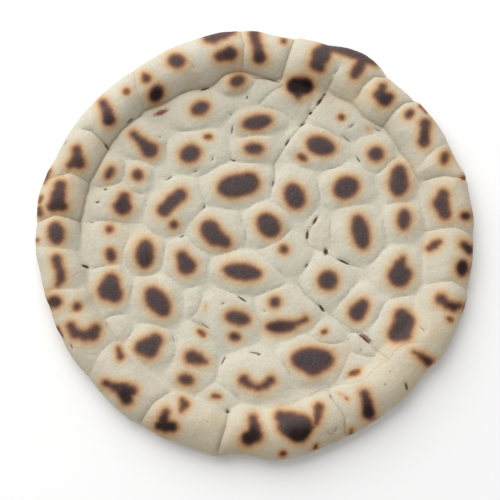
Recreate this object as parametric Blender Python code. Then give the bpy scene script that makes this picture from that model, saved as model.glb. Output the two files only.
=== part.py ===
"""A round naan, baked on a hot wall: a flat disc of dough inside a puffed rim.

The top is one height field. Inside, the dough has risen as pillows, and each crease is where the
domes of two pillows meet. Round them the rim stands up as an arch, which creases part into bulges.
The underside is flat. The naan is one solid, and its origin is the middle of its flat underside.
"""

import bpy
import numpy as np

MM = 0.001  # every size below is in millimetres

# The disc and its rim
RADIUS = 119.4  # mean radius of the outline
WIDEST = 6.0  # height at which the rim is widest
RIM_TOP = 16.5  # height of the rim's crest
CREST_IN = 13.0  # how far the crest lies inside the outline
FLANK = 13.6  # width of the rim's inner flank, from the crest to its foot
FLANK_POWER = 2.2  # how late the inner flank falls: 2 is a parabola
UNDERCUT = 9.0  # how far the flat underside's edge lies inside the outline
SHEET = 7.4  # height of the dough between the pillows
EDGE_CREASE = 0.35  # how deep the rim's creases are at the widest line, as a share of the top's

# The pillows' domes
SPREAD = 1.12  # each dome ends this much outside the pillow's own edge, so that neighbours meet
DOME_POWER = 2.4  # how flat a dome's top is: 2 is a paraboloid

# The mesh
TOP_RINGS = 36  # rings from the centre of the top to the widest line, ring k with 6 k points
CREST_RING = 31  # the ring that runs along the rim's crest
SIDE_RINGS = 3  # rings from the widest line down to the underside's edge
UNDER_COUNTS = (108, 54, 18)  # points in the rings across the flat underside

# Where the outline swells or draws in: angle and half width in degrees, height
OUTLINE_SWELLS = (
    (8, 26, 1.9), (33, 9, 1.3), (60, 8, 3.0), (79, 5, -2.2), (98, 10, 1.5), (131, 10, -1.4),
    (167, 8, 2.0), (182, 9, 1.0), (204, 20, -0.9), (222, 8, -1.0), (281, 9, 1.9), (308, 14, -0.3),
    (335, 14, 1.4),
)

# The pillows: centre x and y, half length, half width, turn in degrees, rise above the sheet
PILLOWS = (
    (-10.0, 28.5, 20.5, 13.0, 8, 3.6), (23.0, 25.0, 15.0, 13.0, -60, 3.0),
    (7.0, 6.5, 13.5, 13.0, 0, 3.2), (17.5, -10.5, 13.5, 12.5, 0, 2.3),
    (-20.5, 2.5, 16.5, 12.8, -10, 3.3), (-4.5, -21.0, 20.0, 11.5, -9, 3.6),
    (-37.5, -14.0, 13.5, 12.3, -60, 2.8), (-59.7, -9.5, 12.5, 10.7, 90, 3.0),
    (-44.0, 17.0, 18.0, 13.5, 45, 3.7), (-83.0, -5.0, 14.0, 13.5, 90, 2.0),
    (-76.0, 18.5, 16.0, 11.5, 0, 2.6), (-80.5, 37.0, 11.0, 8.5, 62, 2.8),
    (-64.0, 35.0, 10.0, 8.5, 90, 2.6), (-62.0, 55.0, 15.5, 11.5, -45, 3.6),
    (-31.0, 48.5, 17.0, 13.5, 0, 3.1), (-30.0, 72.0, 18.0, 11.5, 15, 3.3),
    (-10.5, 88.0, 10.5, 6.5, 8, 3.6), (3.0, 65.5, 15.0, 8.8, 6, 3.4),
    (0.5, 49.3, 13.5, 8.8, 0, 3.0), (18.0, 78.0, 15.0, 8.5, -12, 1.9),
    (35.0, 51.0, 17.5, 12.0, -10, 3.3), (51.0, 27.8, 15.5, 13.0, 15, 3.2),
    (67.5, 47.0, 12.0, 11.5, 0, 2.8), (80.0, 31.0, 13.5, 10.8, 90, 3.0),
    (82.0, 8.5, 12.0, 10.8, 90, 2.7), (57.0, 0.8, 17.5, 14.5, 105, 3.4),
    (36.5, 4.0, 12.0, 7.0, 100, 1.3), (78.5, -19.5, 15.0, 14.0, 0, 3.2),
    (40.5, -24.5, 15.0, 14.0, -50, 3.2), (57.0, -39.5, 14.5, 11.0, 50, 2.8),
    (79.0, -50.0, 17.0, 14.0, 62, 3.3), (17.5, -42.0, 18.0, 13.5, -18, 2.8),
    (-14.0, -46.0, 17.5, 15.0, -15, 2.9), (39.0, -53.5, 11.0, 8.0, 20, 1.9),
    (31.0, -68.5, 19.5, 12.8, 0, 3.6), (53.5, -73.0, 13.0, 8.0, 20, 2.0),
    (58.0, -60.0, 9.0, 6.0, -45, 1.5), (1.0, -76.0, 20.5, 13.8, 0, 3.4),
    (-32.0, -67.5, 20.0, 12.5, 82, 2.8), (-55.5, -60.5, 13.0, 12.0, 0, 3.2),
    (-52.5, -36.0, 15.5, 12.8, -50, 3.4), (-33.0, -36.0, 9.0, 5.0, 80, 1.6),
    (-79.5, -31.0, 15.0, 13.0, 90, 2.9), (-74.0, -50.0, 8.0, 8.0, 0, 1.6),
    (-87.0, -54.0, 13.0, 9.5, -15, 3.2), (-20.0, -88.0, 12.0, 7.5, 0, 1.8),
    (49.0, 67.5, 19.0, 11.5, -22, 2.4), (6.0, 83.5, 12.0, 7.0, 0, 1.4),
)

# The rim's creases: depth, width, then points from the rim's foot outwards
RIM_CREASES = (
    (1.8, 5.0, (-61, 71), (-66, 84), (-68.5, 97)),
    (2.0, 5.0, (-6.3, 95), (-5.6, 109), (-8, 120)),
    (3.0, 6.0, (14.4, 88.7), (19.4, 103), (24, 118)),
    (2.4, 5.0, (40, 81), (43.7, 90), (48, 101), (54, 112)),
    (3.0, 6.0, (56.6, 77.5), (61, 85), (68, 91.3), (77, 93)),
    (3.2, 6.0, (70, 60.6), (79, 71), (85, 76), (93, 79)),
    (1.6, 6.0, (88, 43), (95, 46), (108, 55)),
    (2.6, 5.0, (92, 31), (105, 33), (120, 32)),
    (2.6, 5.0, (92, 3), (110, 3.7), (122, 0)),
    (2.4, 5.0, (92, -27), (107, -26), (120, -32)),
    (1.0, 6.0, (88, -41.5), (112, -44)),
    (1.0, 6.0, (78, -62), (99, -78)),
    (1.8, 5.0, (40.7, -84), (46.5, -96), (48.5, -110)),
    (3.2, 5.5, (-14, -94), (-15, -103), (-20, -120)),
    (3.0, 6.0, (-43.4, -84), (-53, -91), (-62, -104)),
    (2.6, 6.0, (-74, -56), (-83, -66.5), (-89, -78)),
    (1.4, 6.0, (-92, -42), (-110, -47)),
    (1.8, 5.5, (-94, -30), (-120, -31)),
    (1.6, 5.0, (-96, -9), (-122, -6)),
    (3.0, 5.5, (-93, 8), (-109, 11), (-121, 7)),
    (2.8, 5.5, (-90, 30), (-101, 34.6), (-117, 31)),
    (2.6, 5.5, (-80.5, 50), (-90, 58.7), (-106, 63)),
)

CRUST_COLOUR = (0.60, 0.52, 0.39, 1.0)
CRUST_ROUGHNESS = 0.75


def outline_radius(angle):
    """The outline's radius at an angle in radians: the mean radius and a Gaussian for each swell."""
    radius = np.full_like(angle, RADIUS)
    for centre, half_width, height in OUTLINE_SWELLS:
        away = (np.degrees(angle) - centre + 180) % 360 - 180
        radius += height * np.exp(-((away / half_width) ** 2))
    return radius


def distance_to_line(x, y, points):
    """The distance in plan from each point to a line of straight runs."""
    nearest = np.full_like(x, np.inf)
    for (ax, ay), (bx, by) in zip(points[:-1], points[1:]):
        dx, dy = bx - ax, by - ay
        along = np.clip(((x - ax) * dx + (y - ay) * dy) / (dx * dx + dy * dy), 0, 1)
        nearest = np.minimum(nearest, np.hypot(x - ax - along * dx, y - ay - along * dy))
    return nearest


def rim_groove(x, y):
    """The depth of the rim's creases: each falls off exponentially, and the deepest counts."""
    groove = np.zeros_like(x)
    for depth, width, *points in RIM_CREASES:
        groove = np.maximum(groove, depth * np.exp(-distance_to_line(x, y, points) / width))
    return groove


def pillow_height(x, y):
    """The height of the sheet and its pillows: the highest dome at each point, or the bare sheet."""
    height = np.full_like(x, SHEET)
    for centre_x, centre_y, half_length, half_width, turn, rise in PILLOWS:
        cos, sin = np.cos(np.radians(turn)), np.sin(np.radians(turn))
        along = ((x - centre_x) * cos + (y - centre_y) * sin) / (half_length * SPREAD)
        across = ((y - centre_y) * cos - (x - centre_x) * sin) / (half_width * SPREAD)
        dome = rise * (1 - np.hypot(along, across) ** DOME_POWER)
        height = np.maximum(height, SHEET + dome)
    return height


def top_ring(ring):
    """One ring of the top. Up to the crest it is a height field, and past it a quarter ellipse."""
    angle = np.arange(6 * ring) * 2 * np.pi / (6 * ring)
    crest_radius = outline_radius(angle) - CREST_IN
    if ring <= CREST_RING:
        inward = crest_radius * (1 - ring / CREST_RING)
        radius = crest_radius - inward
        x, y = radius * np.cos(angle), radius * np.sin(angle)
        fall = (inward / FLANK) ** FLANK_POWER
        rim = RIM_TOP - (RIM_TOP - SHEET) * fall - rim_groove(x, y)
        return np.column_stack((x, y, np.maximum(rim, pillow_height(x, y))))
    lean = np.pi / 2 * (ring - CREST_RING) / (TOP_RINGS - CREST_RING)
    radius = crest_radius + CREST_IN * np.sin(lean)
    groove = rim_groove(radius * np.cos(angle), radius * np.sin(angle))
    groove *= 1 - (1 - EDGE_CREASE) * np.sin(lean)
    radius -= groove * np.sin(lean)
    height = WIDEST + (RIM_TOP - WIDEST) * np.cos(lean) - groove * np.cos(lean)
    return np.column_stack((radius * np.cos(angle), radius * np.sin(angle), height))


def side_ring(step):
    """One ring below the widest line: a quarter ellipse down to the underside, its creases fading."""
    angle = np.arange(6 * TOP_RINGS) * 2 * np.pi / (6 * TOP_RINGS)
    lean = np.pi / 2 * step / SIDE_RINGS
    outline = outline_radius(angle)
    groove = EDGE_CREASE * rim_groove(outline * np.cos(angle), outline * np.sin(angle))
    radius = outline - UNDERCUT * (1 - np.cos(lean)) - groove * np.cos(lean)
    height = np.full_like(angle, WIDEST * (1 - np.sin(lean)))
    return np.column_stack((radius * np.cos(angle), radius * np.sin(angle), height))


def under_ring(count, share):
    """One ring across the flat underside, at a share of its edge's radius."""
    angle = np.arange(count) * 2 * np.pi / count
    radius = (outline_radius(angle) - UNDERCUT) * share
    return np.column_stack((radius * np.cos(angle), radius * np.sin(angle), np.zeros(count)))


def stitch(big_start, big, small_start, small):
    """Triangles between two rings, facing the side from which both run anticlockwise.

    Each edge of the bigger ring is joined to the smaller ring's nearest point, and each edge of
    the smaller ring to the point where that nearest point changes.
    """
    here = np.arange(big)
    nearest = np.floor((here + 0.5) * small / big + 0.5).astype(int) % small
    faces = [np.column_stack((here, (here + 1) % big)) + big_start]
    faces = [np.column_stack((faces[0], nearest + small_start))]
    before = np.roll(nearest, 1)
    turns = here[nearest != before]
    faces.append(np.column_stack((before[turns] + small_start, turns + big_start,
                                  nearest[turns] + small_start)))
    return np.concatenate(faces)


def build_naan():
    """The closed mesh: rings out over the top, down the side and in under the naan."""
    centre = np.zeros(1)
    rings = [np.column_stack((centre, centre, pillow_height(centre, centre)))]
    rings += [top_ring(ring) for ring in range(1, TOP_RINGS + 1)]
    rings += [side_ring(step) for step in range(1, SIDE_RINGS + 1)]
    rings += [under_ring(count, count / (6 * TOP_RINGS)) for count in UNDER_COUNTS]
    rings.append(np.zeros((1, 3)))
    starts = np.cumsum([0] + [len(ring) for ring in rings])
    faces = []
    for i in range(len(rings) - 1):
        if i < TOP_RINGS:
            faces.append(stitch(starts[i + 1], len(rings[i + 1]), starts[i], len(rings[i])))
        else:
            # Below the widest line the rings run inwards, so that each face is turned over.
            under = stitch(starts[i], len(rings[i]), starts[i + 1], len(rings[i + 1]))
            faces.append(under[:, ::-1])
    mesh = bpy.data.meshes.new("naan")
    mesh.from_pydata((np.concatenate(rings) * MM).tolist(), [], np.concatenate(faces).tolist())
    mesh.shade_smooth()
    naan = bpy.data.objects.new("naan", mesh)
    bpy.context.scene.collection.objects.link(naan)
    return naan


def crust_material():
    """The pale baked crust."""
    material = bpy.data.materials.new("naan crust")
    material.use_nodes = True
    shader = material.node_tree.nodes["Principled BSDF"]
    shader.inputs["Base Color"].default_value = CRUST_COLOUR
    shader.inputs["Roughness"].default_value = CRUST_ROUGHNESS
    shader.inputs["Metallic"].default_value = 0.0
    return material


def main():
    for existing in list(bpy.data.objects):
        bpy.data.objects.remove(existing, do_unlink=True)
    build_naan().data.materials.append(crust_material())


main()
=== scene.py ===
"""A round naan with a puffed rim, a pillowed middle and charred spots, on a pale floor.

Sizes in the tables are millimetres. Places in plan are x to the right and y away from the viewer,
from the middle of the naan. The shape is the solid's own, worked out on a finer mesh, with its fine
seams, slits and wrinkles added. The char is a distance from listed touches of the oven's heat,
kept on the mesh as an attribute, which the crust's material turns into colour.
"""

import bpy
import numpy as np
from bpy.props import FloatProperty, FloatVectorProperty, IntProperty, PointerProperty
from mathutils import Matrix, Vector


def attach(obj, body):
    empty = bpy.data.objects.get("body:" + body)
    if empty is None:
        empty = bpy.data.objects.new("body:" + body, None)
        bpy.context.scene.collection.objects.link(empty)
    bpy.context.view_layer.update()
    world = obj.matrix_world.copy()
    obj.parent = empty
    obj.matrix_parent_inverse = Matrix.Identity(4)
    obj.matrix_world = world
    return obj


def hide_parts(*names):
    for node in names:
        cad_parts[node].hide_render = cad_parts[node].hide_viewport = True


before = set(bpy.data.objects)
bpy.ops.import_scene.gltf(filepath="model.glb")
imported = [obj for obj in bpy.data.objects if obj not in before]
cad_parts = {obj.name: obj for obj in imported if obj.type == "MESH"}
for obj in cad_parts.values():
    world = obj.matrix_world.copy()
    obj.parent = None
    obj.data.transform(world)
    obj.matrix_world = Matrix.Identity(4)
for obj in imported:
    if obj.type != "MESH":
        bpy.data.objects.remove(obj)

bl_info = {
    "name": "Charred Naan",
    "version": (1, 0, 0),
    "blender": (4, 5, 0),
    "location": "3D View > Sidebar > Naan",
    "description": "Builds a round charred naan and the stage it is seen on",
    "category": "Add Mesh",
}

MM = 0.001

# Where the outline swells or draws in: angle and half width in degrees, height
OUTLINE_SWELLS = (
    (8, 26, 1.9), (33, 9, 1.3), (60, 8, 3), (79, 5, -2.2), (98, 10, 1.5), (131, 10, -1.4), (167, 8, 2),
    (182, 9, 1), (204, 20, -0.9), (222, 8, -1), (281, 9, 1.9), (308, 14, -0.3), (335, 14, 1),
)

# Small bulges and nicks in the outline, where the rim is creased: angle, half width and height
OUTLINE_NICKS = (
    (16, 3, 1.8), (23, 4, -0.6), (35, 5, -0.4), (39.5, 2, 0.8), (47, 4, -1), (58, 5, 0.6), (69, 3, -1.2),
    (78, 3, 1.7), (85, 4, -1), (106, 12, -0.6), (120, 3.5, -0.8), (158, 3.5, -0.8), (190, 4, -0.9),
    (200, 2.5, -1.2), (208, 3, -0.6), (236, 3, 0.5), (260, 2.5, 1.8), (267.5, 3.5, -1.7), (275, 4, 0.6),
    (287, 3, -0.8), (320, 4, -1.6), (326.5, 2.5, 0.6), (350, 5, -0.9), (357, 4, -0.5),
)

# Where the rim's foot reaches further in: angle and half width in degrees, and how far
FOOT_SWELLS = (
    (57.5, 11, 4.6), (82, 4, 1.2), (107, 5.5, 3.2), (131, 4.5, -2.4), (144, 5.5, -2.4),
)

# Where the rim's foot is sharp: start, end and how soon at each in degrees, then how sharp
SHARP_FOOT = ((79.5, 182, 2.5, 6, 1), (14, 65, 8, 4, 0.6))

# The pillows: centre x and y, half length, half width, turn in degrees, rise above the sheet
PILLOWS = (
    (-10, 28.5, 20.5, 13, 8, 3.6), (23, 25, 15, 13, -60, 3), (7, 6.5, 13.5, 13, 0, 3.2),
    (17.5, -10.5, 13.5, 12.5, 0, 2.3), (-20.5, 2.5, 16.5, 12.8, -10, 3.3), (-4.5, -21, 20, 11.5, -9, 3.6),
    (-37.5, -14, 13.5, 12.3, -60, 2.8), (-59.7, -9.5, 12.5, 10.7, 90, 3), (-44, 17, 18, 13.5, 45, 3.7),
    (-83, -5, 14, 13.5, 90, 2), (-76, 18.5, 16, 11.5, 0, 2.6), (-80.5, 37, 11, 8.5, 62, 2.8),
    (-64, 35, 10, 8.5, 90, 2.6), (-62, 55, 15.5, 11.5, -45, 3.6), (-31, 48.5, 17, 13.5, 0, 3.1),
    (-30, 72, 18, 11.5, 15, 3.3), (-10.5, 88, 10.5, 6.5, 8, 3.6), (3, 65.5, 15, 8.8, 6, 3.4),
    (0.5, 49.3, 13.5, 8.8, 0, 3), (18, 78, 15, 8.5, -12, 1.9), (35, 51, 17.5, 12, -10, 3.3),
    (51, 27.8, 15.5, 13, 15, 3.2), (67.5, 47, 12, 11.5, 0, 2.8), (80, 31, 13.5, 10.8, 90, 3),
    (82, 8.5, 12, 10.8, 90, 2.7), (57, 0.8, 17.5, 14.5, 105, 3.4), (36.5, 4, 12, 7, 100, 1.3),
    (78.5, -19.5, 15, 14, 0, 3.2), (40.5, -24.5, 15, 14, -50, 3.2), (57, -39.5, 14.5, 11, 50, 2.8),
    (79, -50, 17, 14, 62, 3.3), (17.5, -42, 18, 13.5, -18, 2.8), (-14, -46, 17.5, 15, -15, 2.9),
    (39, -53.5, 11, 8, 20, 1.9), (31, -68.5, 19.5, 12.8, 0, 3.6), (53.5, -73, 13, 8, 20, 2),
    (58, -60, 9, 6, -45, 1.5), (1, -76, 20.5, 13.8, 0, 3.4), (-32, -67.5, 20, 12.5, 82, 2.8),
    (-55.5, -60.5, 13, 12, 0, 3.2), (-52.5, -36, 15.5, 12.8, -50, 3.4), (-33, -36, 9, 5, 80, 1.6),
    (-79.5, -31, 15, 13, 90, 2.9), (-74, -50, 8, 8, 0, 1.6), (-87, -54, 13, 9.5, -15, 3.2),
    (-20, -88, 12, 7.5, 0, 1.8), (49, 67.5, 19, 11.5, -22, 2.4), (6, 83.5, 12, 7, 0, 1.4),
)

# The rim's creases: depth, width, how strong a fine line runs in it, then points from the foot out
RIM_CREASES = (
    (1.8, 5, 0.5, (-61, 71), (-66, 84), (-68.5, 97)),
    (2, 5, 0.7, (-6.3, 95), (-5.6, 109), (-8, 120)),
    (3, 6, 1, (14.4, 88.7), (19.4, 103), (24, 118)),
    (2.4, 5, 0.8, (40, 81), (42.6, 87.3), (44.8, 91.7), (48, 96)),
    (3, 6, 0.9, (56.6, 77.5), (61, 85), (68, 91.3), (77, 93)),
    (3.2, 6, 0.9, (70, 60.6), (79, 71), (85, 76), (93, 79)),
    (1.8, 5, 0.3, (91, 38), (95.1, 43.6), (100.8, 48.6), (108, 52.5)),
    (2.6, 5, 0.9, (92, 31), (105, 33), (120, 32)),
    (2.6, 5, 0.55, (92, 3), (110, 3.7), (122, 0)),
    (2.4, 5, 0.5, (92, -27), (107, -26), (120, -32)),
    (1, 6, 0, (88, -41.5), (112, -44)),
    (1, 6, 0, (78, -62), (99, -78)),
    (1.8, 5, 0.75, (39.5, -84.5), (41.5, -89.5), (45.6, -96), (48, -100), (48.5, -110)),
    (3.2, 5.5, 1, (-14, -94), (-15, -103), (-20, -120)),
    (3, 6, 0.8, (-43.4, -84), (-53, -91), (-62, -104)),
    (2.6, 6, 0.2, (-74, -56), (-83, -66.5), (-89, -78)),
    (1.4, 6, 0, (-92, -42), (-110, -47)),
    (1.8, 5.5, 0.2, (-94, -30), (-120, -31)),
    (1.6, 5, 0.2, (-96, -9), (-122, -6)),
    (3, 5.5, 0.9, (-93, 8), (-109, 11), (-121, 7)),
    (2.8, 5.5, 0.6, (-90, 30), (-101, 34.6), (-117, 31)),
    (2.6, 5.5, 0.9, (-80.5, 50), (-90, 58.7), (-97, 60.5)),
)

# Fine seams pulled across the middle: strength, then points along each
SEAMS = (
    (0.8, (44.8, 91), (42.8, 86.9), (39.9, 82.3), (36.8, 77), (31.7, 70.8), (24.2, 60.7), (18.6, 53.5),
     (13.1, 44.2), (10.9, 40.8), (11.6, 34.7), (9.8, 25.2)),
    (0.7, (22.8, -24.4), (27.4, -31.9), (36.5, -40)),
    (0.35, (36.5, -40), (51.7, -51), (57, -54.5)),
    (0.6, (57, -54.5), (59, -56), (70, -67), (73.3, -69.3)),
    (0.4, (-94.6, 8), (-87.2, 8.2), (-79.3, 9.2), (-72, 7.7), (-60, 7.4)),
    (0.5, (36.3, 13), (33.6, 8.7), (29.2, 0.8), (29.7, -5.2), (39, -9), (51.5, -15.5), (60.4, -18.2)),
    (0.35, (28.2, -87.9), (37.3, -83), (44.2, -81.5), (53.4, -80.3), (59.5, -78), (63.4, -73.6),
     (68.8, -69.8), (73.4, -68.9)),
    (0.45, (72, -69.2), (74.3, -64.3), (77.1, -61.6), (83.2, -59.6), (89, -59.3)),
)

# Slits and pinholes: x, y, half length, half width, turn in degrees, how dark. Their dark is partly
# # painted shade in the openings.
SLITS = (
    (36.9, 77.5, 2.2, 0.7, 55, 1), (39.7, 81.8, 1, 0.5, 50, 0.9), (31.8, 70.8, 0.9, 0.65, 45, 1),
    (27.4, 64.4, 1.7, 0.5, 38, 0.9), (18.6, 53.5, 1.7, 0.5, 60, 0.9), (10.6, 30, 1.2, 0.4, 75, 0.65),
    (-27.4, 16.6, 0.9, 0.45, 75, 0.75), (-39.3, -0.1, 1.1, 0.45, 30, 0.65), (33.6, 8.7, 2, 0.6, 60, 0.95),
    (29.2, 0.8, 2.3, 0.6, 85, 0.95), (39.2, -8.7, 1.6, 1.1, 90, 1), (48.7, -14.3, 2.9, 0.5, -25, 1),
    (28.6, -16.4, 1.1, 0.45, 60, 0.7), (-6.4, -35, 2.3, 0.45, -35, 0.95),
    (-16.6, -37.5, 0.8, 0.35, 35, 0.65), (36.5, -39.9, 2, 0.6, -50, 1),
    (59.1, -56.5, 3.5, 0.55, -41, 0.8), (-26.2, -49.8, 2.4, 0.35, -35, 0.6),
    (0.7, -64.4, 2.6, 0.4, -8, 0.7), (2.6, -65.1, 0.8, 0.6, -15, 0.8), (-16.6, -68.5, 2.2, 0.4, 62, 0.75),
    (-14, -95.5, 0.9, 0.8, 0, 0.8), (-43.2, -56.9, 1.2, 0.35, -75, 0.35),
    (-91.7, -17.2, 1.6, 0.7, -15, 1), (-82, 26.3, 0.9, 0.55, 0, 0.75), (-86, 18.8, 0.9, 0.55, 0, 0.8),
    (-89, 7.9, 0.8, 0.35, 0, 0.5), (-81.9, 51, 1.5, 0.6, -50, 0.8), (-27.7, 85, 2.1, 0.55, 20, 1),
    (-12.2, 60.8, 2, 0.4, 85, 0.75), (-11.6, 43.3, 1.4, 0.5, -15, 0.85),
    (-22.8, 43.3, 0.7, 0.35, 80, 0.6), (-3.7, 80, 0.8, 0.4, 85, 0.8), (-52.3, 56.3, 0.4, 0.4, 0, 0.6),
    (54.5, 62.6, 1.4, 0.35, 40, 0.6), (51.7, 55.5, 2.4, 0.35, -38, 0.6),
    (57.9, 43.8, 1.8, 0.4, -62, 0.75), (69.3, 61.1, 1.4, 0.35, -25, 0.65),
    (80.8, -83, 1.7, 0.7, -75, 0.85), (-97.8, -61.5, 1.1, 0.35, -65, 0.7), (5.7, -41.9, 0.4, 0.4, 0, 0.4),
    (-13, 70, 0.6, 0.35, 0, 0.5), (-32.3, 36.7, 1.1, 0.4, 20, 0.5), (-47, 33, 1.6, 0.4, 35, 0.75),
    # the first two here lie along the rim's foot and paint the shade of its crease
    (4.4, 91.5, 4.2, 0.4, -5, 0.6), (11.3, 90.2, 3.2, 0.45, -17, 0.7), (-69.1, 65.6, 2, 0.45, 42, 0.7),
    (-105.3, 52.3, 1.2, 0.35, 55, 0.5), (40.6, -87.6, 0.9, 0.4, -75, 0.5), (43, -106, 1, 0.3, 60, 0.4),
    (89.6, -52.4, 1.5, 0.3, -45, 0.4), (40, -108, 0.8, 0.3, -20, 0.3), (32.5, -113.8, 0.9, 0.45, 50, 0.7),
    (-33.5, 95, 0.4, 0.35, 0, 0.35),
)

# Reddish tears, where the skin pulled open: x, y, half length, half width, turn, how strong
TEARS = (
    (-52, 71.1, 3.8, 1.3, 22, 1), (60.4, -56.2, 3.2, 1.1, -40, 0.8), (50.5, -56.8, 0.6, 0.6, 0, 0.3),
    (57, -62.4, 0.6, 0.6, 0, 0.45), (69, -81.7, 0.7, 0.7, 0, 0.45), (71.5, -75, 0.6, 0.5, 0, 0.35),
    (-24.3, -101.2, 0.6, 0.6, 0, 0.3),
)

# A kind of char: the deepest distance that its middle reaches, how steeply its halo fades, and how
# red its brown is
DARK, SMALL, RUDDY = (-12.0, 1.0, 0.0), (-12.0, 1.2, 0.2), (-12.0, 1.4, 0.75)
BROWN, TAN, FAINT = (-1.0, 1.5, 0.6), (1.3, 1.5, 0.3), (2.4, 1.2, 0.2)

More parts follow.
